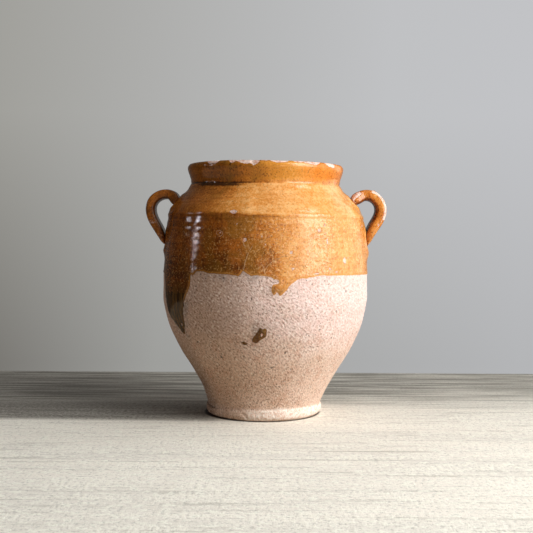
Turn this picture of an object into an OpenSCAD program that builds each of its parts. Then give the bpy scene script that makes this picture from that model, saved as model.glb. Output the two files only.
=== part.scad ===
// Confit pot: a wheel-thrown earthenware jar with a turned-out collar and two pulled
// strap handles. The wall and both handles are fired together as one solid piece.
// The axis of the wheel is Z, the underside stands on Z = 0 and the handles lie along X.

/* [Overall] */
// Height from the table to the top of the lip
height = 270; // [240:1:310]

/* [Foot] */
// Diameter of the flat underside
base_d = 116; // [100:1:117]
// Fullest diameter of the foot ring
foot_d = 124; // [118:1:130]
// Height of the foot ring up to its crease
foot_h = 12; // [9:0.5:16]
// Diameter in the crease above the foot ring
ankle_d = 122; // [112:1:126]

/* [Belly] */
// Diameter of the lower wall half-way up its slope
calf_d = 182; // [170:1:196]
// Height at which that diameter is reached
calf_z = 68; // [58:1:80]
// Fullest diameter of the belly
belly_d = 221; // [210:1:236]
// Height of the fullest part of the belly
belly_z = 132; // [115:1:150]

/* [Shoulder] */
// Diameter at the ridge where the wall turns into the shoulder
ridge_d = 210; // [198:1:214]
// Height of the shoulder from the ridge up to the neck crease
shoulder_h = 36; // [28:1:44]
// Depth of the fine lines that the potter's finger left on the shoulder
throwing_line = 0.5; // [0:0.1:0.8]

/* [Neck and lip] */
// Diameter in the crease between shoulder and collar
neck_d = 160; // [146:1:164]
// Height of the collar from the neck crease to the top of the lip
collar_h = 21; // [16:1:28]
// Outer diameter of the lip
rim_d = 167; // [162:1:180]
// Thickness of the lip
lip_t = 9; // [7:0.5:11]
// Distance from the top of the lip down to its fullest diameter
lip_drop = 5; // [4:0.5:7]

/* [Walls] */
// Thickness of the wall
wall = 7.5; // [6:0.5:9]
// Thickness of the floor
floor_t = 11; // [8:0.5:14]

/* [Handles] */
// Gap between the shoulder ridge and the strap of the handle at -X
left_gap = 14.5; // [12:0.5:20]
// Gap between the shoulder ridge and the strap of the handle at +X
right_gap = 13; // [11:0.5:20]
// Thickness of the strap at -X
left_strap_t = 10.5; // [8:0.5:12]
// Thickness of the strap at +X
right_strap_t = 12; // [8:0.5:13]
// Width of the straps across the pot
strap_w = 27; // [22:1:32]
// Height of the bow's outermost point above the shoulder ridge
bow_rise = 7.5; // [4:0.5:12]
// Radius of the bow at the middle of the strap
bow_r = 16; // [14:0.5:18]
// Height of the upper root above the shoulder ridge
root_rise = 13; // [10:0.5:16]
// Distance from the shoulder ridge down to where the strap at -X lands on the wall
left_drop = 24; // [20:1:30]
// Distance from the shoulder ridge down to where the strap at +X lands on the wall
right_drop = 21; // [18:1:28]
// Length of the tongue that is pressed onto the wall below that
tongue_l = 23; // [16:1:28]
// How much each root spreads sideways beyond the strap, at each edge
root_spread = 4; // [2:0.5:6]
// How much clay thickens the underside of the strap at -X at its upper root
left_fillet = 7; // [4:0.5:9]
// How much clay thickens the underside of the strap at +X at its upper root
right_fillet = 2.5; // [1.5:0.5:7]

/* [Wear] */
// Depth of the chips on the front of the lip
chip_depth = 1.2; // [0.6:0.1:1.8]

/* [Hidden] */
$fn = 180;

neck_z = height - collar_h;
ridge_z = neck_z - shoulder_h;
lip_z = height - lip_drop;
flare = atan2(lip_z - neck_z, (rim_d - neck_d) / 2); // heading from the neck crease to the lip's edge
heel_z = foot_h + floor_t;

line_pitch = 4;                          // distance between neighbouring throwing lines
line_w = 0.9;                            // half-width of one throwing line
line_above_ridge = 10;                   // height of the first throwing line over the ridge
step = 2.6;                              // length of one facet along the outlines
fine_step = 0.9;                         // length of one facet where throwing lines run
strap_step = 2;                          // distance between two sections of a handle's strap
section_points = 4 * round(strap_w / 4); // points round a strap's section
squareness = 3.5;                        // exponent of a strap's section: 2 is an ellipse
groove = 0.6;                            // depth of the finger track down a strap's outer face
groove_w = 5.4;                          // half-width of that track
root_heading = 35;                       // heading of a strap where it leaves the shoulder
landing_heading = -118;                  // heading of a strap where it lands on the wall
landing = 1.6;                           // how far a strap's middle is off the wall where it lands
tip_w = 3;                               // half-width of the tongue at its very end

// A station of an outline is [radius, height, heading on arrival, heading on leaving].
// Headings are in degrees: 0 runs outward, 90 straight up and 180 towards the axis.
function station(r, z, arrive, leave = undef) = [r, z, arrive, is_undef(leave) ? arrive : leave];

// Smooth curve from station a to station b, without its last point. Where the two
// headings fit an arc, it is that arc.
function curve(a, b, facet = step) =
    let (
        chord = norm([b[0] - a[0], b[1] - a[1]]),
        pull = 2 * chord / (1 + cos((b[2] - a[3]) / 2)),
        n = max(3, ceil(chord / facet))
    )
    [for (i = [0 : n - 1])
        let (
            t = i / n,
            pa = [a[0], a[1]],
            pb = [b[0], b[1]],
            da = pull * [cos(a[3]), sin(a[3])],
            db = pull * [cos(b[2]), sin(b[2])]
        )
        (2 * t^3 - 3 * t^2 + 1) * pa + (t^3 - 2 * t^2 + t) * da
            + (3 * t^2 - 2 * t^3) * pb + (t^3 - t^2) * db];

// Curve through a list of stations.
function through(s, facet = step) =
    [for (k = [0 : len(s) - 2]) each curve(s[k], s[k + 1], facet)];

// Station moved into the wall by t, square to its mean heading, and back along it by b.
function inset(s, t, b = 0) =
    let (heading = (s[2] + s[3]) / 2)
    station(s[0] - t * sin(heading) - b * cos(heading), s[1] + t * cos(heading) - b * sin(heading), heading);

// Outside stations, from the table up
base_edge = station(base_d / 2, 0, 20);
foot_ring = station(foot_d / 2, foot_h / 2, 90);
ankle = station(ankle_d / 2, foot_h, 110, 68);
calf = station(calf_d / 2, calf_z, 60);
belly = station(belly_d / 2, belly_z, 90);
ridge = station(ridge_d / 2, ridge_z, 98, 112);
neck = station(neck_d / 2, neck_z, 113, flare + 19);
lip_edge = station(rim_d / 2, lip_z, flare + 6);
lip_top = station(rim_d / 2 - lip_t / 2, height, 180);
lip_inside = inset(lip_edge, lip_t, lip_drop);

// Depth of the throwing lines at height z, smooth like a fingertip's track
function line_depth(z) =
    let (above = [for (k = [0 : 2]) ridge_z + line_above_ridge + k * line_pitch])
    throwing_line * max([for (h = above) exp(-pow((z - h) / line_w, 2))]);

function lined(points) = [for (p = points) [p[0] - line_depth(p[1]), p[1]]];

wall_outside = concat(
    through([base_edge, foot_ring, ankle, calf, belly, ridge]),
    lined(curve(ridge, neck, fine_step)),
    through([neck, lip_edge, lip_top])
);

// Radius of the outside at height z
function outside_r(z) = lookup(z, [for (p = wall_outside) [p[1], p[0]]]);

// Outline of the hollow, shrunk or grown from the wall's own thickness by t.
// It runs from the neck down to the floor, so that it closes the wall's outline.
function down(s) = station(s[0], s[1], s[2] + 180);
function hollow(t) = concat(
    through([
        down(inset(neck, t)),
        down(inset(ridge, t)),
        down(inset(belly, t)),
        down(inset(calf, t)),
        station(outside_r(heel_z) - t, heel_z, 247),
        station(ankle_d / 2 - 3 * t, floor_t, 180)
    ]),
    [[ankle_d / 2 - 3 * t, floor_t], [0, floor_t]]
);

wall_outline = concat(
    [[0, 0]],
    wall_outside,
    through([lip_top, down(lip_inside), down(inset(neck, wall))]),
    hollow(wall)
);

// Solid that fills the pot up to the middle of its wall: it ends the handles' roots there
core_outline = concat([[0, height]], [[inset(neck, wall / 2)[0], height]], hollow(wall / 2));

module thrown_wall() {
    rotate_extrude() polygon(wall_outline);
}

module core() {
    rotate_extrude() polygon(core_outline);
}

// Pulled strap of a handle, in the XZ plane on the +X side. Its path starts in the
// shoulder's wall, rises to the bow's crest, turns down at the outermost point, comes in
// to the wall and ends in a tongue that is pressed onto it.
// Each stop is [station, half of the width, thickness towards the loop, away from it].
function strap_stops(gap, t, fillet, drop) =
    let (
        outermost = [ridge_d / 2 + gap + t / 2, ridge_z + bow_rise],
        root_z = ridge_z + root_rise,
        landing_z = ridge_z - drop,
        tip_z = landing_z - tongue_l,
        spread = strap_w / 2 + root_spread
    )
    [
        [station(outside_r(root_z) - wall, root_z, root_heading), spread, t / 2 + fillet, t / 2],
        [station(outermost[0] - bow_r, outermost[1] + bow_r, 0), strap_w / 2, t / 2, t / 2],
        [station(outermost[0], outermost[1], -90), strap_w / 2, t / 2, t / 2],
        [station(outside_r(landing_z) + landing, landing_z, landing_heading), spread, t / 2, t / 2],
        [station(outside_r(tip_z) - wall / 3, tip_z, -90), tip_w, wall / 4, wall / 4]
    ];

// Share of the way from one stop's sizes to the next, at t of the path between them
function ease(t) = t * t * (3 - 2 * t);
function round_end(t) = 1 - sqrt(1 - t * t);

// Sections of a strap: [middle, half of the width, thickness towards the loop, away from it]
function strap_sections(stops) =
    let (tongue = len(stops) - 2, tip = stops[tongue + 1])
    concat(
        [for (k = [0 : tongue]) each
            let (a = stops[k], b = stops[k + 1], middle = curve(a[0], b[0], strap_step))
            [for (i = [0 : len(middle) - 1])
                let (t = i / len(middle), e = ease(t), w = k == tongue ? round_end(t) : e)
                [
                    middle[i],
                    a[1] + (b[1] - a[1]) * w,
                    a[2] + (b[2] - a[2]) * e,
                    a[3] + (b[3] - a[3]) * e
                ]]],
        [[[tip[0][0], tip[0][1]], tip[1], tip[2], tip[3]]]
    );

// One point of a section, at angle a round it: [across the pot, away from the loop]
function section_point(a, section) =
    let (
        across = section[1] * sign(cos(a)) * pow(abs(cos(a)), 2 / squareness),
        thickness = sin(a) > 0 ? section[3] : section[2],
        out = thickness * sign(sin(a)) * pow(abs(sin(a)), 2 / squareness),
        track = sin(a) > 0 ? groove * exp(-pow(across / groove_w, 2)) : 0
    )
    [across, out - track];

module strap(gap, t, fillet, drop) {
    sections = strap_sections(strap_stops(gap, t, fillet, drop));
    rings = len(sections);
    k = section_points;
    points = [for (j = [0 : rings - 1]) each
        let (
            travel = sections[min(j + 1, rings - 1)][0] - sections[max(j - 1, 0)][0],
            away = [-travel[1], travel[0]] / norm(travel)
        )
        [for (i = [0 : k - 1])
            let (q = section_point(360 * i / k, sections[j]))
            [sections[j][0][0] + q[1] * away[0], q[0], sections[j][0][1] + q[1] * away[1]]]];
    sides = [for (j = [0 : rings - 2]) each
        [for (i = [0 : k - 1]) each
            let (a = j * k + i, b = j * k + (i + 1) % k)
            [[a, b + k, b], [a, a + k, b + k]]]];
    ends = [
        [for (i = [0 : k - 1]) i],
        [for (i = [k - 1 : -1 : 0]) (rings - 1) * k + i]
    ];
    polyhedron(points, concat(sides, ends));
}

// A chip is the bite of a large ball out of the lip's outer edge.
// Each is [bearing from the front towards +X in degrees, length along the lip].
chips = [[-38, 12], [-21, 9], [-9, 22], [12, 18], [34, 20], [49, 12]];

// The ball's centre lies at 45 degrees above and outside the round of the lip's edge.
module chip(bearing, length) {
    ball_r = (length * length / 4 + chip_depth * chip_depth) / (2 * chip_depth);
    edge_r = rim_d / 2 - lip_t * (1 - sqrt(0.5)) / 2;
    edge_z = lip_z + lip_drop * sqrt(0.5);
    reach = (ball_r - chip_depth) * sqrt(0.5);
    rotate([0, 0, bearing - 90])
        translate([edge_r + reach, 0, edge_z + reach])
            sphere(r = ball_r);
}

module pot() {
    color("goldenrod")
        difference() {
            union() {
                thrown_wall();
                difference() {
                    union() {
                        strap(right_gap, right_strap_t, right_fillet, right_drop);
                        mirror([1, 0, 0]) strap(left_gap, left_strap_t, left_fillet, left_drop);
                    }
                    core();
                }
            }
            for (c = chips) chip(c[0], c[1]);
        }
}

pot();
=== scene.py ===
"""Confit pot: the thrown wall, the two strap handles, their glaze and wear, and the table it stands on.

Lengths are in millimetres up to the materials, and become metres when a mesh is made. Bearings are
in degrees from the front (-Y) towards +X. The outline has the stations of the CAD part.
"""

import math
from types import SimpleNamespace

import bmesh
import bpy
import numpy as np
from mathutils import Matrix, Vector, kdtree, noise
from mathutils.bvhtree import BVHTree

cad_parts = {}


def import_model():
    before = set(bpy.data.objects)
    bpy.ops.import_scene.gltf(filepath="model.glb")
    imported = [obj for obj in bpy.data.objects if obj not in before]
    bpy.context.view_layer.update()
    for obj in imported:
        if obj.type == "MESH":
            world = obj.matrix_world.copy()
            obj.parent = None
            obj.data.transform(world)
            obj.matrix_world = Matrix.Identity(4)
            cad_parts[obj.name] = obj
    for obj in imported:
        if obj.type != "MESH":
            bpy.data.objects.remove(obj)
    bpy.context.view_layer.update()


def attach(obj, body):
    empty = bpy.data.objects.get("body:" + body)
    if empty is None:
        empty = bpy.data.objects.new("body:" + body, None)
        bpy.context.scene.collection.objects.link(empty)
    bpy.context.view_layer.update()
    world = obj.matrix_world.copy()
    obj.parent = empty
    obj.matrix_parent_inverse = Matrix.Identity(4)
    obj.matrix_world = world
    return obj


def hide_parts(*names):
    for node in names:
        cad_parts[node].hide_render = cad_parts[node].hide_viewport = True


MM = 0.001
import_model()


# Outline of the wall

def station(r, z, arrive, leave=None):
    """A place on the outline and its headings: 0 runs outward, 90 straight up and 180 towards the axis."""
    return (r, z, arrive, arrive if leave is None else leave)


def curve(a, b, facet):
    """Hermite curve from station a to station b, without its last point."""
    chord = math.dist(a[:2], b[:2])
    pull = 2 * chord / (1 + math.cos(math.radians(b[2] - a[3]) / 2))
    n = max(3, math.ceil(chord / facet))
    t = (np.arange(n) / n)[:, None]
    da = pull * np.array([math.cos(math.radians(a[3])), math.sin(math.radians(a[3]))])
    db = pull * np.array([math.cos(math.radians(b[2])), math.sin(math.radians(b[2]))])
    pa, pb = np.array(a[:2], float), np.array(b[:2], float)
    from_a = (2 * t**3 - 3 * t**2 + 1) * pa + (t**3 - 2 * t**2 + t) * da
    return from_a + (3 * t**2 - 2 * t**3) * pb + (t**3 - t**2) * db


def through(stations, facets):
    """Curve through stations, with the length of its facets between each two, without its last point."""
    return np.vstack([curve(a, b, f) for a, b, f in zip(stations[:-1], stations[1:], facets)])


WALL = 7.5
RIDGE_R, RIDGE_Z = 105, 213
BASE_EDGE = station(58, 0, 20)
FOOT_RING = station(62, 6, 90)
ANKLE = station(61, 12, 110, 74)
CALF = station(91, 68, 60)
BELLY = station(110.5, 132, 90)
UPPER_WALL = station(105.55, 206.5, 96)
RIDGE = station(RIDGE_R, RIDGE_Z, 98, 112)
NECK = station(80, 249, 113, 97.5)
LIP_EDGE = station(83.5, 265, 83.7)
LIP_TOP = station(79, 270, 180)
LIP_INSIDE = station(74, 261, 263.7)
HEEL_Z = 23.0
FLOOR = station(38.5, 11.0, 180)

OUTSIDE = through(
    [BASE_EDGE, FOOT_RING, ANKLE, CALF, BELLY, UPPER_WALL, RIDGE, NECK, LIP_EDGE, LIP_TOP],
    [0.8, 0.8, 1.9, 1.6, 1.4, 0.8, 1.1, 1.1, 0.8],
)
RISING = np.concatenate([[True], np.diff(np.maximum.accumulate(OUTSIDE[:, 1])) > 1e-9])
RISE_R, RISE_Z = OUTSIDE[RISING].T


def outside_r(z):
    return np.interp(z, RISE_Z, RISE_R)


def outside_level(z):
    """Cosine of the outside's lean from the vertical at height z."""
    reach = 0.6
    slope = (outside_r(z + reach) - outside_r(z - reach)) / (2 * reach)
    return 1 / np.sqrt(1 + slope**2)


def across_wall(s):
    """The station on the inside across from an outside one, headed down."""
    heading = (s[2] + s[3]) / 2
    a = math.radians(heading)
    return station(s[0] - WALL * math.sin(a), s[1] + WALL * math.cos(a), heading + 180)


HEEL = station(float(outside_r(HEEL_Z)) - WALL, HEEL_Z, 247)
INSIDE = np.vstack([
    through(
        [LIP_TOP, LIP_INSIDE, *map(across_wall, [NECK, RIDGE, BELLY, CALF]), HEEL, FLOOR],
        [1, 3, 5, 7, 7, 6, 3],
    ),
    [[FLOOR[0] * k, FLOOR[1]] for k in (1, 0.72, 0.44, 0.18)],
])
UNDER = np.array([[r, 0.0] for r in (10, 24, 38, 47, 53, 56.5)])
OUTLINE = np.vstack([UNDER, OUTSIDE, INSIDE])
N_UNDER, N_OUT = len(UNDER), len(UNDER) + len(OUTSIDE)


def columns():
    """Bearings of the mesh's columns: close together on the front, wide apart on the back."""
    back, flank, front, drip = 2.4, 1.05, 0.88, 0.6
    gaps = [(-180, back), (-104, back), (-96, flank), (-82, 0.92), (-18, front), (-14, drip), (19, drip),
            (24, front), (82, 0.92), (96, flank), (104, back), (180, back)]
    at, gap = zip(*gaps)
    step = 0.05
    grid = np.linspace(-180, 180, round(360 / step) + 1)
    passed = np.concatenate([[0], np.cumsum(1 / np.interp(0.5 * (grid[1:] + grid[:-1]), at, gap)) * step])
    n = int(round(passed[-1]))
    return np.interp(np.arange(n) * passed[-1] / n, passed, grid)


BEARING = columns()


# Glaze, chips and wear, placed by bearing and height

# Lower edge of the glaze all the way round, with its runs, from the back over the left to the back
GLAZE_EDGE = [
    (-180, 152.4), (-171, 150.6), (-166, 146), (-163.5, 138.5), (-161.5, 137.6), (-159.5, 142),
    (-157, 149.5), (-149, 152.2), (-138, 151), (-131, 152.8), (-122, 150.4), (-118, 147.4), (-115, 147.8),
    (-111, 151), (-101, 152.6), (-90, 151.6), (-78.4, 151.8), (-75, 151.4), (-73.4, 146.5), (-72.5, 142.5),
    (-71.5, 133.9), (-70.6, 129.2), (-69.8, 122.3), (-69.3, 115.9), (-68.2, 110.1), (-65.5, 105.2),
    (-62.2, 101.4), (-59.4, 97.5), (-56.9, 94.1), (-56, 91.7), (-54.5, 90.6), (-53, 92.2), (-52.6, 94.9),
    (-52.6, 97.8), (-51.5, 98.8), (-50.5, 101.1), (-50.5, 105.3), (-50.4, 110.7), (-49.5, 118.7),
    (-48.4, 120.4), (-48.2, 124.1), (-46.7, 130.5), (-45.4, 134.8), (-44.2, 138.1), (-43.1, 144.3),
    (-43.1, 151.5), (-42.7, 153.8), (-41.8, 152.1), (-39.8, 154.9), (-38.9, 156.7), (-34.2, 156.8),
    (-33.2, 156.1), (-30.8, 155), (-26.6, 154.9), (-22.7, 154.6), (-19, 154.4), (-16.3, 153.7),
    (-14, 152.9), (-12.9, 154.8), (-12, 157.2), (-11.4, 158.6), (-10.4, 156.8), (-9.2, 155.4),
    (-7.6, 153.5), (-4.2, 154.3), (-0.6, 153.4), (1.3, 153.1), (3.1, 152.2), (4.4, 150.6), (6.7, 149.6),
    (7, 147.8), (6.5, 146), (5.3, 145.6), (4.2, 145.6), (3.4, 144.3), (3.2, 141.2), (3.2, 138.6),
    (3.6, 136.4), (4.3, 134.5), (5.1, 135.6), (5.6, 137.3), (6.2, 137.7), (6.5, 136.4), (6.9, 134.7),
    (7.6, 133.6), (8.3, 134.7), (9.5, 136.8), (10.7, 139.4), (11.6, 141.2), (12, 143.2), (13.2, 145.1),
    (14.9, 147.7), (16.6, 149.9), (17.5, 150.5), (19.4, 151), (21.9, 150.9), (23, 152), (25.8, 152.1),
    (27.6, 153.1), (30.4, 153.7), (39, 153.1), (46.6, 152.9), (56.2, 152.6), (65.4, 152.3), (74.1, 151.9),
    (88, 151.2), (97, 152.4), (104, 150.2), (109, 144.6), (111.5, 138.8), (113.5, 138.2), (115.4, 143.6),
    (118.5, 150.6), (128, 152.8), (139, 150.9), (147, 152.6), (156, 151.2), (166, 152.9), (173, 151.6),
    (180, 152.4),
]
BLOBS = [
    [(-2.9, 102.5), (-2.2, 102.1), (-1.4, 100.8), (-0.4, 101.9), (0.5, 101.4), (1.1, 99.5), (0.8, 97.4),
     (0.8, 94.8), (0.1, 92.7), (-0.7, 91.9), (-2.3, 90.5), (-3.7, 88.1), (-4.9, 86.2), (-5.9, 86.7),
     (-7.5, 88), (-7.1, 91.9), (-5.6, 94.7), (-4.3, 98.1), (-3.4, 101)],
    [(-13.9, 87.1), (-12, 87.8), (-10.9, 87.1), (-10, 85.7), (-11.2, 83.8), (-12.6, 84.6)],
]
# Chips along the lip: (bearing, half-width in degrees, reach down the outside, reach over the top, depth)
LIP_CHIPS = [
    (-40.6, 6, 6.2, 1.6, 0.3), (-23.6, 2.9, 5, 2.2, 0.6), (-13, 8.2, 5.8, 2.4, 0.7),
    (-7.2, 3.2, 7.4, 2.4, 0.8), (10.2, 6.9, 4.8, 2.2, 0.6), (24.5, 4.6, 4.2, 1.6, 0.25),
    (35.5, 8.6, 5.9, 2.4, 0.6), (55, 6.6, 7, 2, 0.35), (84, 4, 4.6, 2, 0.5), (118, 6, 6, 2.4, 0.8),
    (151, 3.5, 5, 2.4, 0.6), (-172, 7, 6.2, 2.6, 0.8), (-128, 4.5, 5.4, 2, 0.6), (-84, 3.4, 4.4, 2, 0.4),
]
# The thrown rings aren't level: (bearing, height over the plan) of the ridge, the neck crease and the lip
RIDGE_LEVEL = [
    (-180, -0.4), (-120, -0.3), (-90, 0.4), (-60, 1.2), (-25, 1.9), (-10, 1.8), (-5, -0.1), (5, -0.6),
    (25, -0.8), (45, -0.3), (70, -1), (90, -1.7), (130, -1.2), (180, -0.4),
]
NECK_LEVEL = [
    (-180, -1.8), (-90, -1), (-60, -1.3), (-30, -2.1), (0, -2.2), (40, -2.4), (90, -2.6), (140, -2.2),
    (180, -1.8),
]
RIM_LEVEL = [
    (-180, -1), (-120, -1.5), (-65, -1.5), (-35, -1.3), (-20, -1.2), (0, -1.6), (15, -1.8), (30, -1.9),
    (45, -2.2), (65, -2.5), (100, -2.3), (140, -1.4), (180, -1),
]
# Height of the trimmed foot's upper edge
FOOT_EDGE = [
    (-180, 11), (-90, 9.6), (-60, 8.6), (-23, 9.2), (-13, 11.7), (15, 14), (43, 12.8), (90, 9.4),
    (135, 10.5), (180, 11),
]
# Craters where the glaze has flaked: (bearing, height, half-width mm, half-height mm, depth)
CRATERS = [
    (-17.6, 216.2, 3.6, 1.5, 0.7), (-11.1, 188.7, 2, 1.7, 0.7), (29.8, 197.9, 2, 1.7, 0.6),
    (33.4, 194.4, 0.9, 2.6, 0.4), (34.8, 187.6, 0.8, 2.6, 0.4), (33.8, 203.6, 1.1, 1.2, 0.3),
    (47, 167.6, 2.2, 3.4, 0.9), (44, 170.6, 0.7, 1.6, 0.3), (50.2, 170.4, 0.7, 1.7, 0.3),
    (14.2, 160.6, 1.2, 1.1, 0.5), (13.2, 176.4, 1.5, 1.2, 0.4), (-25, 195.4, 0.9, 1.1, 0.3),
    (-15.2, 204.4, 0.6, 0.6, 0.3), (-2.2, 192, 0.8, 0.7, 0.3), (-0.4, 183.6, 0.8, 0.8, 0.3),
    (27.6, 155.3, 2.2, 1, 0.4), (36, 160.2, 1.2, 0.9, 0.3), (40.5, 157.2, 1.4, 0.9, 0.3),
    (-53, 150.2, 0.6, 1.2, 0.3), (98, 181, 2.4, 1.8, 0.6), (131, 196, 1.8, 2.6, 0.6),
    (162, 172, 2.6, 1.6, 0.6), (-141, 187, 2, 1.6, 0.6), (-166, 206, 1.6, 1.3, 0.5),
    (-104, 168, 1.4, 2.2, 0.5), (74, 203, 1.3, 1.3, 0.4), (-53.3, 101.6, 1.1, 1.4, 0.4),
    (-1.9, 95.6, 1, 1.5, 0.3),
]
# Thin scratches through the glaze: lines of (bearing, height)
SCRATCHES = [
    [(-12.2, 188), (-11.4, 183.4), (-9.6, 179.8), (-8.8, 178.4)],
    [(-7.4, 181.6), (-9.2, 175.4), (-10.6, 168), (-11.2, 160.4), (-11.6, 157)],
    [(-1.4, 164), (-0.6, 157.6), (0.4, 152.6)],
    [(12.4, 173.6), (8.6, 172.6), (4.6, 169.2), (1, 163.6), (-0.8, 158)],
    [(20.4, 163.2), (23.6, 166.4), (28, 168.2), (32.6, 167.8), (36.4, 165.4)],
    [(20.6, 163), (19.6, 159.8), (20.8, 157), (24, 155.6)],
    [(-27.2, 197.2), (-25.2, 198.2), (-23.6, 196.4), (-23.4, 193.6), (-25, 191.6), (-26.8, 193),
     (-27.3, 196.6)],
    [(28, 199.4), (29, 201.2), (31.2, 201.2), (32, 198.2), (30.6, 195.4), (28.2, 196)],
    [(118, 196), (124, 188), (127, 178)],
    [(-150, 172), (-143, 169), (-138, 162)],
]
# Pits in the bare clay: (bearing, height, half-width mm, half-height mm, depth)
PITS = [
    (-32.5, 149.6, 1, 0.9, 0.5), (-35.9, 153.5, 1.3, 0.8, 0.4), (-22.4, 150.7, 1.1, 0.7, 0.4),
    (-17.9, 147.9, 0.9, 0.9, 0.4), (-16.6, 95.2, 1.3, 0.8, 0.5), (-7, 131.2, 0.9, 0.9, 0.4),
    (-39.4, 141.2, 1.1, 0.8, 0.4), (22, 128, 0.9, 0.9, 0.4), (41, 118, 1.2, 0.8, 0.4),
    (31, 99, 1, 1.2, 0.5), (12, 76, 1.2, 1, 0.5), (-29, 70, 1.3, 0.8, 0.4), (48, 137, 0.9, 1.6, 0.4),
    (-44, 84, 1.1, 0.9, 0.4), (63, 92, 1, 0.9, 0.4), (2, 112, 0.8, 0.8, 0.3), (4, 60, 1.4, 1, 0.5),
    (96, 120, 1.2, 0.9, 0.4), (133, 94, 1.4, 1, 0.5), (170, 121, 1.1, 1.2, 0.5),
    (-118, 104, 1.2, 0.9, 0.4), (-150, 73, 1.5, 0.9, 0.5),
]

GLAZED_ABOVE, BARE_BELOW = 172, 78  # heights past which the outside is all glaze or all clay
SKIN = 12                           # how far from its edge the distance inside the glaze is followed
FAR_SCRATCH = 5                     # the same for the distance to a scratch
TONGUE_BEARING = -60                # middle of the long run on the left


def rise(lo, hi, x):
    """Smooth change from 0 at lo to 1 at hi, which may be the lower of the two."""
    t = np.clip((x - lo) / (hi - lo), 0, 1)
    return t * t * (3 - 2 * t)


def bell(x, width):
    return np.exp(-((x / width) ** 2))


def along(table, x):
    """The table's second column at x in its first."""
    return np.interp(x, *zip(*table))


def turn(a, b):
    """Difference of two bearings, from -180 to 180."""
    return (np.asarray(a) - b + 180) % 360 - 180


def fbm(points, size, octaves=3, seed=0.0):
    """Smooth noise of about -1 to 1 with features of that size, at points in mm."""
    shift = Vector((17.3 + seed, 5.1 - seed, 2.7 * seed + 3.3))
    return np.array([noise.fractal(Vector(p) / size + shift, 0.8, 2.1, octaves) for p in points])


def distance_to(points, line):
    """Distance from each point to a polyline, both in mm."""
    best = np.full(len(points), 1e9)
    for a, b in zip(line[:-1], line[1:]):
        d = b - a
        t = np.clip(((points - a) @ d) / max(d @ d, 1e-9), 0, 1)
        best = np.minimum(best, np.linalg.norm(points - a - t[:, None] * d, axis=1))
    return best


def inside_of(points, ring):
    """Whether each point lies in a closed ring."""
    x, y = points[:, 0], points[:, 1]
    odd = np.zeros(len(points), bool)
    for (x0, y0), (x1, y1) in zip(ring, np.roll(ring, -1, axis=0)):
        if y0 != y1:
            odd ^= ((y0 > y) != (y1 > y)) & (x < (x1 - x0) * (y - y0) / (y1 - y0) + x0)
    return odd


def glaze_distance(bearing, z):
    """How far a point of the outside lies inside the glaze in mm, negative on bare clay."""
    across, sky, squeeze = math.radians(1) * 108, 400, 0.93
    p = np.column_stack([bearing * across, z])
    edge = np.array(GLAZE_EDGE) * [across, 1]
    d = np.full(len(p), -float(SKIN))
    d[z > GLAZED_ABOVE] = SKIN
    near = (z <= GLAZED_ABOVE) & (z > BARE_BELOW)
    q = p[near]
    over = inside_of(q, np.vstack([edge, [[edge[-1, 0], sky], [edge[0, 0], sky]]]))
    best = np.where(over, 1, -1) * distance_to(q, edge)
    q = q * [squeeze, 1]
    for blob in BLOBS:
        ring = np.array(blob) * [across * squeeze, 1]
        off = distance_to(q, np.vstack([ring, ring[:1]]))
        best = np.maximum(best, np.where(inside_of(q, ring), 1, -1) * off)
    d[near] = np.clip(best, -SKIN, SKIN)
    return d


def scratched(bearing, z):
    """(signed distance in mm to the nearest scratch, 1 beside it and 0 away from it or past its ends)."""
    across = math.radians(1) * RIDGE_R
    p = np.column_stack([bearing * across, z])
    signed, beside, best = np.full(len(p), float(FAR_SCRATCH)), np.zeros(len(p)), np.full(len(p), 1e9)
    for line in SCRATCHES:
        line = np.array(line) * [across, 1]
        for a, b in zip(line[:-1], line[1:]):
            d = b - a
            t = ((p - a) @ d) / (d @ d)
            off = np.linalg.norm(p - a - np.clip(t, 0, 1)[:, None] * d, axis=1)
            nearer = off < best
            side = np.sign(d[0] * (p[:, 1] - a[1]) - d[1] * (p[:, 0] - a[0]))
            best = np.where(nearer, off, best)
            signed = np.where(nearer, side * np.clip(off, 0, FAR_SCRATCH), signed)
            beside = np.where(nearer, (off < 2.6) & (t > -0.25) & (t < 1.25), beside)
    return signed, beside


def spots(bearing, z, list_of, rough):
    """(depth, mask) of small round hollows."""
    depth, mask = np.zeros(len(z)), np.zeros(len(z))
    for b, h, half_w, half_h, deep in list_of:
        r = float(outside_r(h))
        u = np.hypot(np.radians(turn(bearing, b)) * r / half_w, (z - h) / half_h) + rough
        depth = np.maximum(depth, deep * rise(1.25, 0.5, u))
        mask = np.maximum(mask, rise(1.35, 0.75, u))
    return depth, mask


# Wall mesh

LEAN = [(0, -1.3), (14, -0.8), (28, 0.15), (42, 0.5), (60, 0.55), (80, 0.25), (110, -0.2), (150, -0.2),
        (180, 0.3), (207, -0.2), (225, 0.0), (247, -0.8), (258, -0.7), (270, -0.8)]


def lean(z):
    """Sideways lean of the hand-thrown wall along X at each height."""
    return along(LEAN, z)


def tube_faces(n, k, flip=False):
    """Faces of n rings of k points each and of their two caps, whose middles are the last two points."""
    after = [(j + 1) % k for j in range(k)]
    last = (n - 1) * k
    faces = [(i + j, i + after[j], i + k + after[j], i + k + j) for i in range(0, last, k) for j in range(k)]
    faces += [(n * k, after[j], j) for j in range(k)]
    faces += [(n * k + 1, last + j, last + after[j]) for j in range(k)]
    return [f[::-1] for f in faces] if flip else faces


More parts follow.
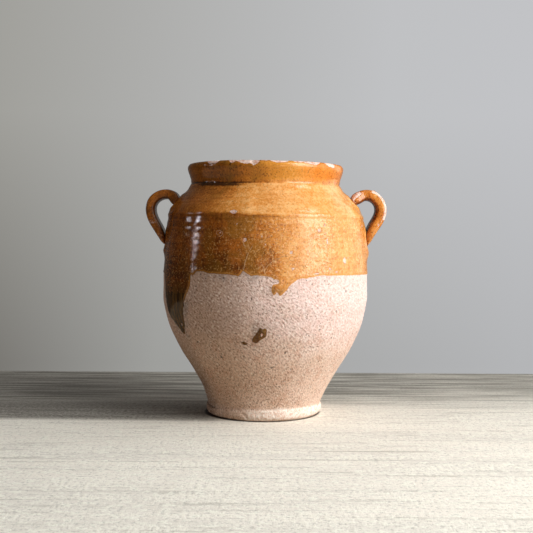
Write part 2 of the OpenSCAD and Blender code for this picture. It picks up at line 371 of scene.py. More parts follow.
def wall_points():
    """Every point of the revolved wall, with where it is on the pot and the noise there."""
    before, after = np.roll(OUTLINE, 1, axis=0), np.roll(OUTLINE, -1, axis=0)
    before[0], after[-1] = (0, 0), (0, FLOOR[1])
    run = after - before
    run /= np.linalg.norm(run, axis=1)[:, None]
    arc = np.concatenate([[0], np.cumsum(np.linalg.norm(np.diff(OUTLINE, axis=0), axis=1))])
    row = np.repeat(np.arange(len(OUTLINE)), len(BEARING))
    b = np.tile(BEARING, len(OUTLINE))
    angle = np.radians(b)
    r, z = OUTLINE[row].T
    p = np.column_stack([r * np.sin(angle), -r * np.cos(angle), z])
    outer, inner = (row >= N_UNDER) & (row < N_OUT), row >= N_OUT
    level = along(RIDGE_LEVEL, b) * rise(150, 208, z) * (1 - rise(216, 247, z))
    level += along(NECK_LEVEL, b) * rise(216, 247, z) * (1 - rise(251, 262, z))
    level += along(RIM_LEVEL, b) * rise(251, 262, z)
    level *= outer | inner
    normal = np.column_stack([run[row, 1] * np.sin(angle), -run[row, 1] * np.cos(angle), -run[row, 0]])
    w = SimpleNamespace(p=p, bearing=b, z=z, level=level, h=z + level, from_top=(arc[N_OUT] - arc)[row],
                        outer=outer, inner=inner, normal=normal)
    w.coarse, w.mid, w.fine = fbm(p, 38, 2, 1), fbm(p, 9, 3, 2), fbm(p, 3.2, 2, 3)
    w.glaze = np.full(len(p), -float(SKIN))
    w.glaze[outer] = glaze_distance(b[outer], w.h[outer])
    w.glaze[inner] = SKIN
    w.edge = w.glaze + 0.45 * w.fine + 0.25 * w.mid
    w.foot = outer & (z < 20)
    w.foot_edge = along(FOOT_EDGE, b) + 0.35 * w.mid
    return w


def thrown(w):
    """Relief of the potter's fingers: soft rings, the sharper lines above the ridge, and the ridge."""
    z, h, b, coarse, mid = w.z, w.h, w.bearing, w.coarse, w.mid
    right = rise(-30, 30, b) * rise(175, 120, b)
    push = 0.1 * np.sin(z / 2.05 + 0.6 * coarse) * rise(217, 224, z) * rise(248, 243, z)
    rings = 0.1 * np.cos((h - 198.3 + 0.6 * coarse) / 7.2 * 2 * np.pi) * rise(150, 190, z)
    push += rings * rise(213, 208, z) * (0.4 + 0.6 * rise(194, 205, z))
    rings = 0.05 * np.cos(h / 2.3 * 2 * np.pi + 2.2 * coarse) * rise(196, 202, z)
    push += rings * rise(213, 210, z) * right
    push += 0.16 * np.sin(z / 4.6 + 1.6 * coarse) * rise(14, 26, z) * rise(165, 140, z)
    push += 0.07 * np.cos(h / 5.1 * 2 * np.pi) * rise(247, 250, z) * rise(262, 258, z)
    lines = [(222.6, 0.26, 0.7), (225.4, 0.42, 0.75), (229.8, 0.18, 1.0), (234.6, 0.14, 1.2)]
    for height, depth, width in lines:
        wander = height + 0.25 * np.sin(np.radians(b * 1.5 + 25))
        push -= depth * bell(z - wander, width) * (0.75 + 0.5 * mid) * (1 - 0.45 * right)
    # The ridge: a low rounded edge with a worn groove under it
    push += 0.5 * bell(z - 214.2, 1.5) * (0.8 + 0.5 * coarse) - 0.28 * bell(z - 210.2, 1.4)
    push += 0.25 * coarse + 0.1 * mid + 0.045 * w.fine * (1 - rise(-0.6, 1.0, w.edge))
    return push * (w.outer & (z > 1.5) & (w.from_top > 2))


def glaze_relief(w):
    """Glaze stands proud of the clay and is thickest along its lower edge and in its runs."""
    thick = 0.38 * rise(-0.5, 0.7, w.edge) + 0.3 * bell(w.glaze - 1.5, 1.3) * (w.glaze > -0.6)
    run = rise(152, 146, w.z) * rise(0, 2.6, w.glaze)
    return np.where(w.outer & (w.z > BARE_BELOW), thick + 0.45 * run, 0)


def lip_wear(w):
    """(relief, mask) of the chips, which bite the lip's outer edge, and of its worn top."""
    push, chip = np.zeros(len(w.z)), np.zeros(len(w.z))
    shown = w.outer | w.inner
    for b, half, reach_out, reach_in, deep in LIP_CHIPS:
        u = np.abs(turn(w.bearing, b)) / half
        ragged = 1 + 0.2 * w.mid + 0.12 * w.fine
        reach = np.where(w.from_top >= 0, reach_out, reach_in) * np.clip(1 - u**2.4, 0, 1) ** 0.5 * ragged
        bite = rise(-0.4, 0.7, reach - np.abs(w.from_top)) * (u < 1)
        push -= deep * bite * shown * (0.85 + 0.5 * w.mid) * (0.25 + 0.75 * rise(0.4, 3, w.from_top))
        chip = np.maximum(chip, bite)
    worn = rise(0.05, 0.45, 0.9 * w.mid + 0.5 * w.coarse - 0.1)
    worn *= rise(3.4, 1.2, np.abs(w.from_top - 0.4))
    return push, np.maximum(chip, 0.75 * worn * shown)


def foot_relief(w):
    """The foot: trimmed a little proud of the wall above it, eroded on its front."""
    z, mid = w.z, w.mid
    push = 0.55 * rise(0.6, -0.6, z - w.foot_edge) * rise(0, 3, z)
    eroded = rise(25, 14, np.abs(turn(w.bearing, -8))) * rise(10.5, 8.5, z - 0.06 * w.bearing)
    push -= eroded * (0.35 + 0.8 * np.abs(mid) + 0.6 * w.fine) * rise(0, 2.5, z)
    push += (0.24 * mid + 0.13 * w.fine) * rise(0, 2, z)
    return np.where(w.foot, push, 0) + np.where(w.outer, 0.45 * bell(z - 23, 7), 0)


def dirt_and_shade_on(w, pitted):
    """Soot, grime and painted shade: soot and painted shade in and round the neck crease, grime and painted
    shade in the throwing lines and under the ridge, grime in pits, and painted shade over the foot's left and
    the lower wall's left.
    """
    z, b, mid = w.z, w.bearing, w.mid
    # Soot and painted shade in the neck crease, strongest on the shaded left
    crevice = bell(z - 248.4, 1.5) * (0.9 + 0.3 * mid)
    crevice *= along([(-180, 0.5), (-100, 0.6), (-66, 0.8), (-50, 1.0), (-30, 1.0), (-17, 0.9), (-9, 0.5),
                      (4, 0.38), (16, 0.12), (60, 0.1), (120, 0.4), (180, 0.5)], b)
    below = 0.9 * bell(z - 246.3, 1.7) * rise(-0.1, 0.3, 0.5 + 0.5 * mid + 0.35 * w.coarse)
    below *= rise(28, 14, np.abs(turn(b, -38)))
    flecked = 0.6 * rise(0.35, 0.6, w.fine + 0.3 * mid) * rise(249, 252, z) * (w.from_top > 3)
    flecked *= rise(22, 10, np.abs(turn(b, -34)))
    # Grime and painted shade in the throwing lines on the left and in the groove under the ridge
    line = (0.62 * bell(z - 225.4, 0.7) + 0.5 * bell(z - 222.4, 0.6)) * (0.75 + 0.25 * mid)
    line *= rise(6, -24, b) * (b > -90)
    line += 0.5 * bell(z - 212.4, 0.8) * rise(12, 5, np.abs(turn(b, 1)))
    # Painted shade over the foot's left and on the lower wall's left flank
    ankle = 0.6 * bell(z - w.foot_edge - 0.8, 1.8) * w.foot
    ankle *= rise(-36, -62, b) * rise(-150, -120, b)
    low_left_shade = (0.3 + 0.2 * mid) * rise(-48, -68, b) * rise(-150, -110, b)
    low_left_shade *= rise(75, 40, z) * rise(2, 9, z)
    pits = 0.9 * pitted * (w.glaze < 0.5)
    return np.maximum.reduce([crevice, below, flecked, line, ankle, low_left_shade, pits]) * w.outer


def tone_and_shade_of(w):
    """How brown the glaze is, with painted shade in it: 0 honey on the shoulder, 0.5 amber, 1 brown."""
    z, b, mid, coarse = w.z, w.bearing, w.mid, w.coarse
    border = 213.4 + 0.9 * mid + along([(-60, 0.6), (-20, 0.3), (-8, -1.6), (-3, 1.2), (4, 0.6), (30, 0)], b)
    soft = along([(-180, 2), (-50, 3.4), (-34, 2.2), (-22, 1.0), (6, 1.0), (16, 2.4), (180, 2)], b)
    under = rise(1, -1, (z - border) / soft)
    # Browner on the left, away from the window, below the ridge and on the collar: partly the glaze's own
    # tone and partly painted shade
    wall = along([(-180, 0.6), (-120, 0.68), (-80, 0.8), (-52, 0.8), (-34, 0.78), (-24, 0.74),
                  (-14, 0.62), (-6, 0.54), (2, 0.4), (10, 0.24), (22, 0.18), (45, 0.22), (70, 0.28),
                  (120, 0.5), (180, 0.6)], b)
    collar = along([(-180, 0.5), (-90, 0.74), (-50, 0.76), (-34, 0.76), (-24, 0.74), (-16, 0.6), (-4, 0.46),
                    (10, 0.3), (24, 0.22), (36, 0.34), (60, 0.34), (90, 0.36), (180, 0.5)], b)
    # The shoulder darkens towards the left along a slanting line: painted shade
    leaning = b - 0.45 * (z - 226) + 3 * mid
    shoulder = along([(-180, 0.3), (-90, 0.5), (-58, 0.55), (-36, 0.5), (-28, 0.36), (-20, 0.2),
                      (-10, 0.17), (2, 0.14), (14, 0.14), (40, 0.16), (70, 0.14), (180, 0.3)], leaning)
    over = np.maximum(shoulder, collar * rise(246.5, 248.5, z))
    tone = np.where(w.inner, 0.55, under * wall + (1 - under) * over)
    low = under * rise(182, 160, w.h) * rise(10, -10, b) * rise(-100, -70, b)
    smear = rise(184, 172, w.h + 5 * mid)
    smear *= 0.22 * bell(b - 1.5 + 4 * coarse, 5) + 0.12 * bell(b + 27 + 6 * coarse, 8)
    return tone + (0.16 * low + smear) * w.outer


def olive_runs(w):
    """The dark olive of the left run, cut off by a sharp level change, and of the other runs' ends."""
    in_left = np.abs(turn(w.bearing, TONGUE_BEARING)) < 20
    step_z, low_z = 133.9 + 0.11 * (w.bearing + 58), 104
    left = rise(0.6, -0.6, w.z - step_z) * in_left
    dark = np.maximum(left, 0.5 * rise(143, 137, w.z))
    return np.where(w.z > low_z, dark, np.where(in_left, 1.0, 0.72)) * w.outer


def wall_mesh():
    """(vertices, faces, attributes by name) of the revolved wall with its relief."""
    w = wall_points()
    rough = 0.3 * w.fine + 0.22 * w.mid
    flaked, bare = spots(w.bearing, w.h, CRATERS, rough)
    dug, pitted = spots(w.bearing, w.h, PITS, rough)
    bitten, chip = lip_wear(w)
    push = thrown(w) + glaze_relief(w) + bitten + foot_relief(w)
    push -= (0.38 * bell(w.z - 248.6, 0.9) + flaked + dug) * w.outer
    deep_in = w.inner & (w.from_top < -12)
    push += np.where(deep_in, 0.35 * np.sin(w.z / 3.7 + 0.8 * w.coarse) + 0.2 * w.coarse, 0)
    p = w.p + w.normal * push[:, None]
    p[:, 2] = np.where(w.outer, np.maximum(p[:, 2], 0), p[:, 2]) + w.level

    b, z, outer = w.bearing, w.z, w.outer
    scratch, beside = scratched(b, w.h)
    scuff = rise(-24, 8, b + 6 * w.coarse) * rise(150, 110, b) * rise(215, 211, z)
    front = rise(-22, -13, b - 0.9 * (z - 6) + 3 * w.mid) * rise(120, 80, np.abs(b))
    fields = {
        "glaze": w.glaze, "chip": np.maximum(chip, bare * outer), "dirt_and_shade": dirt_and_shade_on(w, pitted),
        "tone": tone_and_shade_of(w), "dark": olive_runs(w), "scuff": scuff * outer,
        "scratch": scratch, "scratch_on": beside * outer * (z > 148),
        "foot_band": rise(0.5, -0.7, z - w.foot_edge) * front * outer,
    }
    middles = {"glaze": (-SKIN, SKIN), "tone": (0.5, 0.55), "scratch": (FAR_SCRATCH, FAR_SCRATCH)}
    fields = {name: np.append(v, middles.get(name, (0, 0))) for name, v in fields.items()}
    p = np.vstack([p, [[0, 0, 0], [0, 0, FLOOR[1]]]])
    p[:, 0] += lean(p[:, 2])
    return p, tube_faces(len(OUTLINE), len(BEARING)), fields


# Handles

STRAP_HALF = 27 / 2   # half-width of a strap
SPREAD = 4            # how much wider each half gets at the landing
ROOT_SPREAD = 9       # and at the upper root
BOW_RISE = 7.5        # height of the bow's outermost point above the ridge
BOW_H = 16            # and of the bow's crest above that point
ROOT_RISE = 13        # height of the upper root above the ridge
LANDING = 2.4         # how far a strap's middle is off the wall where it lands
SQUARENESS = 4.2      # exponent of a strap's section: 2 is an ellipse
SECTION_POINTS = 44
FILLET = 11.0


def strap_stops(gap, t, fillet, drop, tongue, bow):
    """Stops of a strap's path: (station, half-width, thickness towards the loop, thickness away from it)."""
    outermost = (RIDGE_R + gap + t / 2, RIDGE_Z + BOW_RISE)
    root_z, landing_z = RIDGE_Z + ROOT_RISE, RIDGE_Z - drop
    tip_z = landing_z - tongue
    root_r, landing_r, tip_r = (float(outside_r(z)) for z in (root_z, landing_z, tip_z))
    return [
        (station(root_r - WALL, root_z, 35), STRAP_HALF + ROOT_SPREAD, t / 2 + fillet, t / 2),
        (station(outermost[0] - bow, outermost[1] + BOW_H, 0), STRAP_HALF, t / 2, t / 2),
        (station(outermost[0], outermost[1], -90), STRAP_HALF, t / 2, t / 2),
        (station(landing_r + LANDING, landing_z, -116), STRAP_HALF + SPREAD, t / 2, t / 2),
        (station(tip_r - WALL / 3, tip_z, -90), 3, WALL / 4, WALL / 4),
    ]


def strap_path(stops):
    """(points, sizes) of the strap's sections from its root to the tip of its tongue."""
    points, sizes = [], []
    for k, (a, b) in enumerate(zip(stops[:-1], stops[1:])):
        middle = curve(a[0], b[0], 1.35)
        t = np.arange(len(middle)) / len(middle)
        ease = t * t * (3 - 2 * t)
        width = 1 - np.sqrt(1 - t * t) if k == len(stops) - 2 else ease
        points.append(middle)
        shares = ((1, width), (2, ease), (3, ease))
        sizes.append(np.column_stack([a[i] + (b[i] - a[i]) * share for i, share in shares]))
    return np.vstack(points + [[stops[-1][0][:2]]]), np.vstack(sizes + [[stops[-1][1:]]])


def strap_wear(side, p, facing, across, mid, coarse):
    """(chipped, dark with painted shade, place of a kiln bump) on the strap of one side."""
    if side > 0:
        # Worn to pink clay on the front of the upper root, and down the outer edge of the bow
        path = np.array([(100.5, 238.0), (95.0, 234.6), (91.4, 229.6), (94.0, 225.8)])
        root = rise(3.4, 2.2, distance_to(p[:, [0, 2]], path) + 0.8 * mid) * (p[:, 1] < 0)
        edge = rise(0.38, 0.56, facing + 0.16 * mid) * rise(-7, -10, across + 2 * mid)
        edge *= rise(208, 213, p[:, 2] + 2 * coarse) * rise(112, 117, p[:, 0])
        low = rise(1.9, 1.0, np.hypot(p[:, 0] - 120.8, p[:, 2] - 204.7)) * (p[:, 1] < 0)
        return np.maximum.reduce([root, edge, low]), np.zeros(len(p)), (117.2, -7.0, 240.4)
    # On the left strap: a purple-brown patch, and a dark line along the front edge of the outer face that is
    # painted shade
    patch = rise(0.2, 0.6, facing + 0.3 * mid) * rise(7, 3, np.abs(p[:, 2] - 219 + 2 * mid))
    edge_shade = rise(0.86, 1.0, np.abs(facing)) * (facing > 0) * rise(-6, -11, across)
    dark = 0.55 * patch * (p[:, 0] > 115) + 0.35 * edge_shade
    return 0.45 * rise(0.65, 0.9, mid + 0.25), dark, (117.3, -10.5, 219.3)


def strap_mesh(side, stops, seed):
    """(vertices, faces, fields) of one pulled strap on the side -1 or 1."""
    points, sizes = strap_path(stops)
    n, k = len(points), SECTION_POINTS
    travel = np.gradient(points, axis=0)
    travel /= np.linalg.norm(travel, axis=1)[:, None]
    c, s = (f(2 * np.pi * np.arange(k) / k) for f in (np.cos, np.sin))
    # Place round the section: -1 on the face towards the loop, 1 on the outer face
    facing = np.sign(s) * np.abs(s) ** (2 / SQUARENESS)
    across = sizes[:, :1] * np.sign(c) * np.abs(c) ** (2 / SQUARENESS)
    out = np.where(s > 0, sizes[:, 2:3], sizes[:, 1:2]) * facing
    # Two finger tracks down the outer face leave a low rib between them and soft beads at the edges
    tracks = 0.75 * bell(np.abs(across) - 5.0, 2.6) + 0.25 * bell(across, 3.0)
    out = (out - np.where(s > 0, tracks, 0.25 * tracks)).ravel()
    across, facing = across.ravel(), np.tile(facing, n)
    middle, travel = np.repeat(points, k, axis=0), np.repeat(travel, k, axis=0)
    p = np.column_stack([middle[:, 0] - out * travel[:, 1], across, middle[:, 1] + out * travel[:, 0]])
    outward = p - np.column_stack([middle[:, 0], np.zeros(n * k), middle[:, 1]])
    outward /= np.maximum(np.linalg.norm(outward, axis=1), 1e-6)[:, None]
    mid, coarse = fbm(p, 8, 3, 10 + seed), fbm(p, 26, 2, 20 + seed)
    p += outward * (0.28 * coarse + 0.16 * mid)[:, None]
    chip, dark, bump = strap_wear(side, p, facing, across, mid, coarse)
    pull = bell(np.linalg.norm(p - np.array(bump), axis=1), 1.5)
    p += outward * (1.7 * pull - 0.25 * chip)[:, None]

    # The buried ends stay inside the wall's thickness
    r = np.hypot(p[:, 0], p[:, 1])
    least = outside_r(p[:, 2]) - 4.2
    grow = np.where(r < least, least + 0.15 * (r - least), r) / r
    p *= np.column_stack([grow * side, grow, np.ones(n * k)])
    p = np.vstack([p, p[:k].mean(0), p[-k:].mean(0)])
    # The left strap is browner than the right; the face towards the loop is browner still, as painted shade
    brown, loop_face_shade = (0.78, 0.3) if side < 0 else (0.38, 0.5)
    tone = brown + 0.18 * coarse + 0.1 * mid + loop_face_shade * rise(-0.2, -0.8, facing)
    fields = {"glaze": SKIN, "chip": chip, "dirt_and_shade": 0.9 * rise(0.3, 0.7, pull), "tone": tone,
              "dark": dark, "scuff": 0, "scratch": FAR_SCRATCH, "scratch_on": 0, "foot_band": 0}
    fields = {name: v + np.zeros(n * k) for name, v in fields.items()}
    fields = {name: np.append(v, [v[0], v[-1]]) for name, v in fields.items()}
    p[:, 0] += lean(p[:, 2])
    return p, tube_faces(n, k, flip=side > 0), fields


# The pot in one piece

def make_object(name, vertices, faces):
    mesh = bpy.data.meshes.new(name)
    mesh.from_pydata((vertices * MM).tolist(), [], faces)
    mesh.validate()
    obj = bpy.data.objects.new(name, mesh)
    bpy.context.scene.collection.objects.link(obj)
    return obj


def normals_of(vertices, faces):
    obj = make_object("draft", vertices, faces)
    n = np.zeros(len(vertices) * 3)
    obj.data.vertex_normals.foreach_get("vector", n)
    bpy.data.objects.remove(obj)
    return n.reshape(-1, 3)


def blend_roots(wall, wall_normals, straps):
    """Pushes the wall out near the straps and the straps out near the wall, so that they meet in a fillet."""
    share = 0.92
    for p, faces, normals in straps:
        gap = (np.hypot(p[:, 0], p[:, 1]) - outside_r(p[:, 2])) * outside_level(p[:, 2])
        shown = [f for f in faces if max(gap[i] for i in f) > 0.2]
        tree = BVHTree.FromPolygons(p.tolist(), shown)
        boxed = ((wall > p.min(0) - FILLET) & (wall < p.max(0) + FILLET)).all(axis=1)
        on_outside = np.hypot(wall[:, 0], wall[:, 1]) > outside_r(wall[:, 2]) - 2.5
        for i in np.where(boxed & on_outside)[0]:
            hit, _, _, d = tree.find_nearest(Vector(wall[i]), FILLET)
            if hit is not None:
                wall[i] += wall_normals[i] * share * (FILLET - d) ** 2 / (4 * FILLET)
        grown = (FILLET - np.clip(gap, 0, FILLET)) ** 2 / (4 * FILLET) * rise(-3.5, 0, gap)
        p += normals * (share * grown * (np.abs(gap) < FILLET))[:, None]


def without_slivers(mesh):
    """Drops what has no thickness: faces that share all their corners, which the union can leave."""
    bm = bmesh.new()
    bm.from_mesh(mesh)
    twins = {}
    for face in bm.faces:
        twins.setdefault(frozenset(v.index for v in face.verts), []).append(face)
    stray = [face for same in twins.values() if len(same) > 1 for face in same]
    bmesh.ops.delete(bm, geom=stray, context="FACES")
    bm.to_mesh(mesh)
    bm.free()
    return mesh


def joined(wall_obj, strap_objs):
    for s in strap_objs:
        m = wall_obj.modifiers.new("join", "BOOLEAN")
        m.operation = "UNION"
        m.solver = "MANIFOLD"
        m.object = s
    dg = bpy.context.evaluated_depsgraph_get()
    mesh = bpy.data.meshes.new_from_object(wall_obj.evaluated_get(dg))
    for o in [wall_obj, *strap_objs]:
        bpy.data.objects.remove(o)
    obj = bpy.data.objects.new("pot_body", without_slivers(mesh))
    bpy.context.scene.collection.objects.link(obj)
    return obj


def positions(mesh):
    co = np.zeros(len(mesh.vertices) * 3)
    mesh.vertices.foreach_get("co", co)
    return co.reshape(-1, 3)


def tree_of(points):
    tree = kdtree.KDTree(len(points))
    for i, c in enumerate(points):
        tree.insert(c, i)
    tree.balance()
    return tree


def smooth_seam(mesh, known, reach=5.5, times=20):
    """Relaxes the mesh near the line where the straps run into the wall."""
    co = positions(mesh)
    seam = tree_of([c for c in co if known.find(c)[2] > 2e-6])
    edges = np.zeros(len(mesh.edges) * 2, np.int64)
    mesh.edges.foreach_get("vertices", edges)
    a, b = edges.reshape(-1, 2).T
    weight = np.zeros(len(co))
    for i in np.where((np.abs(co[:, 0]) > 0.07) & (co[:, 2] > 0.15) & (co[:, 2] < 0.25))[0]:
        weight[i] = max(0.0, 1 - seam.find(co[i])[2] / MM / reach)
    weight = 0.6 * rise(0, 0.8, weight)
    count = np.bincount(a, minlength=len(co)) + np.bincount(b, minlength=len(co))
    for _ in range(times):
        total = np.column_stack([np.bincount(a, co[b, axis], len(co)) + np.bincount(b, co[a, axis], len(co))
                                 for axis in range(3)])
        co += weight[:, None] * (total / np.maximum(count, 1)[:, None] - co)
    mesh.vertices.foreach_set("co", co.ravel())
    mesh.update()


def pot_body():
    wall, wall_faces, wall_fields = wall_mesh()
    straps = [strap_mesh(1, strap_stops(13.5, 12, 2.5, 22, 21.5, 15.5), 0),
              strap_mesh(-1, strap_stops(14.3, 10.5, 7, 24, 17, 18), 5)]
    with_normals = [(p, faces, normals_of(p, faces)) for p, faces, _ in straps]
    blend_roots(wall, normals_of(wall, wall_faces), with_normals)
    parts = [make_object("wall", wall, wall_faces)]
    parts += [make_object(f"strap_{k}", p, faces) for k, (p, faces, _) in enumerate(straps)]
    known = tree_of(np.vstack([wall] + [s[0] for s in straps]) * MM)
    obj = joined(parts[0], parts[1:])
    source = np.array([known.find(c)[1] for c in positions(obj.data)])
    smooth_seam(obj.data, known)
    for name, values in wall_fields.items():
        values = np.concatenate([values] + [s[2][name] for s in straps])[source]
        obj.data.attributes.new(name, "FLOAT", "POINT").data.foreach_set("value", values.astype(np.float32))
    for poly in obj.data.polygons:
        poly.use_smooth = True
    return obj


# Materials, in metres. Colours are sRGB in 0 to 255

def colour(*srgb):
    """Linear colour of an sRGB one."""
    shares = [c / 255 for c in srgb]
    return tuple(c / 12.92 if c < 0.04 else ((c + 0.055) / 1.055) ** 2.4 for c in shares) + (1.0,)


class Nodes:
    """Short names for the shader nodes used below."""

    def __init__(self, owner):
        owner.use_nodes = True
        self.owner, self.tree = owner, owner.node_tree
        self.tree.nodes.clear()

    def new(self, kind, **values):
        node = self.tree.nodes.new(kind)
        for k, v in values.items():
            setattr(node, k, v)
        return node

    def put(self, socket, value):
        if isinstance(value, bpy.types.NodeSocket):
            self.tree.links.new(value, socket)
        else:
            socket.default_value = value

    def math(self, op, a, b=0.0, clamp=False):
        node = self.new("ShaderNodeMath", operation=op, use_clamp=clamp)
        self.put(node.inputs[0], a)
        self.put(node.inputs[1], b)
        return node.outputs[0]

    def add(self, a, b):
        return self.math("ADD", a, b)

    def mul(self, *values):
        """Product of two values or more, from left to right."""
        product = values[0]
        for v in values[1:]:
            product = self.math("MULTIPLY", product, v)
        return product

    def off(self, noise_value, size):
        """Noise around zero, of that size."""
        return self.mul(self.add(noise_value, -0.5), size)

    def step(self, x, lo, hi, to_lo=0.0, to_hi=1.0):
        node = self.new("ShaderNodeMapRange", interpolation_type="SMOOTHSTEP")
        for socket, value in zip(node.inputs, (x, lo, hi, to_lo, to_hi)):
            self.put(socket, value)
        return node.outputs[0]

    def attribute(self, name):
        return self.new("ShaderNodeAttribute", attribute_name=name).outputs["Fac"]

    def mix(self, factor, a, b):
        """a where factor is 0 and b where it is 1. Either may be an sRGB colour."""
        node = self.new("ShaderNodeMix", data_type="RGBA", blend_type="MIX", clamp_factor=True)
        for socket, value in zip((node.inputs[0], node.inputs[6], node.inputs[7]), (factor, a, b)):
            self.put(socket, colour(*value) if isinstance(value, tuple) else value)
        return node.outputs[2]

    def coat(self, base, strength, where, over):
        """The base with a second colour over it, at that strength, where it says so."""
        return self.mix(self.mul(where, strength), base, over)

    def place(self, scale=(1, 1, 1)):
        node = self.new("ShaderNodeMapping")
        node.inputs["Scale"].default_value = scale
        self.put(node.inputs["Vector"], self.new("ShaderNodeTexCoord").outputs["Object"])
        return node.outputs[0]

    def split(self, where):
        node = self.new("ShaderNodeSeparateXYZ")
        self.put(node.inputs[0], where)
        return node.outputs

    def seen(self):
        return self.new("ShaderNodeLightPath").outputs["Is Camera Ray"]

    def slanted(self, angle, stretch, radius):
        """The surface unrolled round Z, turned by angle and drawn out along its turned first axis."""
        x, y, z = self.split(self.place())
        arc = self.mul(self.math("ARCTAN2", x, self.mul(y, -1.0)), radius)
        c, s = math.cos(math.radians(angle)), math.sin(math.radians(angle))
        join = self.new("ShaderNodeCombineXYZ")
        self.put(join.inputs[0], self.mul(self.add(self.mul(arc, c), self.mul(z, s)), 1 / stretch))
        self.put(join.inputs[1], self.add(self.mul(arc, -s), self.mul(z, c)))
        return join.outputs[0]

    def noise(self, where, scale, detail=3.0, rough=0.55):
        node = self.new("ShaderNodeTexNoise")
        for k, v in (("Vector", where), ("Scale", scale), ("Detail", detail), ("Roughness", rough)):
            self.put(node.inputs[k], v)
        return node.outputs["Fac"]

    def cells(self, where, scale):
        node = self.new("ShaderNodeTexVoronoi")
        self.put(node.inputs["Vector"], where)
        node.inputs["Scale"].default_value = scale
        return node.outputs["Distance"]

    def ramp(self, value, stops):
        """Colours at places from 0 to 1: sRGB ones of three numbers, or linear ones of four."""
        node = self.new("ShaderNodeValToRGB")
        while len(node.color_ramp.elements) < len(stops):
            node.color_ramp.elements.new(0.5)
        for element, (at, c) in zip(node.color_ramp.elements, stops):
            element.position = at
            element.color = c if len(c) == 4 else colour(*c)
        self.put(node.inputs[0], value)
        return node.outputs[0]

    def finish(self, base, roughness, relief, distance, strength, ior):
        bump = self.new("ShaderNodeBump")
        for k, v in (("Distance", distance), ("Strength", strength), ("Height", relief)):
            self.put(bump.inputs[k], v)
        shader = self.new("ShaderNodeBsdfPrincipled")
        self.put(shader.inputs["Normal"], bump.outputs[0])
        for k, v in (("IOR", ior), ("Base Color", base), ("Roughness", roughness)):
            self.put(shader.inputs[k], v)
        self.put(self.new("ShaderNodeOutputMaterial").inputs[0], shader.outputs[0])
        return self.owner


def glaze_colour(n, s):
    """Honey to brown by tone, which holds painted shade, with mottling, rings, runs, specks and stains, and
    painted glints where the glaze is scuffed.
    """
    rings = n.noise(n.place((0.25, 0.25, 5.5)), 60, 4, 0.6)
    runs = n.noise(n.place((1, 1, 0.1)), 190, 4, 0.6)
    hairs = n.noise(n.place((1, 1, 0.05)), 620, 2, 0.5)
    layers = (s.mottle, 0.5), (s.small, 0.85), (rings, 0.42), (runs, 0.2), (hairs, 0.3), (s.big, 0.25)
    t = s.tone
    for layer, size in layers:
        t = n.add(t, n.off(layer, size))
    base = n.ramp(t, [(0.0, (240, 184, 116)), (0.25, (222, 148, 68)), (0.5, (192, 113, 40)),
                      (0.75, (148, 82, 26)), (0.95, (104, 54, 16)), (1.0, (84, 42, 12))])
    fire = n.mul(n.step(s.height, 0.2475, 0.2505), n.step(s.side, -0.05, 0.02, 0.25, 1.0))
    base = n.coat(base, 0.55, fire, n.mix(n.step(s.side, 0.025, 0.055), (216, 148, 44), (222, 128, 20)))
    in_olive = n.mul(n.step(s.side, 0.04, 0.0), n.step(s.side, -0.075, -0.035, 0.35, 1.0))
    in_olive = n.mul(n.step(s.tone, 0.36, 0.56), in_olive)
    base = n.coat(base, 0.6, n.mul(n.step(n.noise(s.here, 46, 3), 0.4, 0.6), in_olive), (146, 102, 36))
    flecks = n.mul(n.step(n.noise(s.here, 620, 2, 0.5), 0.56, 0.66), n.step(s.tone, 0.12, 0.5, 0.45, 1.0))
    base = n.coat(base, 0.62, flecks, (82, 42, 14))
    ochre = n.mul(n.step(n.noise(s.here, 560, 3, 0.5), 0.55, 0.66), n.step(s.height, 0.216, 0.19))
    base = n.coat(base, 0.5, ochre, (226, 174, 108))
    # Painted glints: pale specks where the glaze is scuffed, standing in for the window's broken reflection
    painted_glints = n.mul(s.scuff, n.step(n.noise(s.here, 360, 4, 0.7), 0.52, 0.64))
    base = n.coat(base, 0.5, painted_glints, (252, 208, 148))
    streaks = n.step(n.noise(n.place((1, 1, 0.05)), 330, 3, 0.6), 0.42, 0.62)
    base = n.mix(s.dark, base, n.mix(streaks, (52, 33, 15), (108, 78, 36)))
    edge = n.add(s.glaze, n.off(s.small, 2.6))
    band = n.mul(n.step(edge, 2.4, 1.2), n.step(s.height, 0.12, 0.135))
    base = n.coat(base, 0.6, band, n.mix(s.left, (222, 158, 84), (186, 128, 54)))
    base = n.coat(base, 0.45, n.mul(n.step(edge, 0.75, 0.1), n.step(s.left, 0.1, 0.5)), (92, 56, 20))
    return n.coat(base, 0.5, s.line, (226, 180, 128))


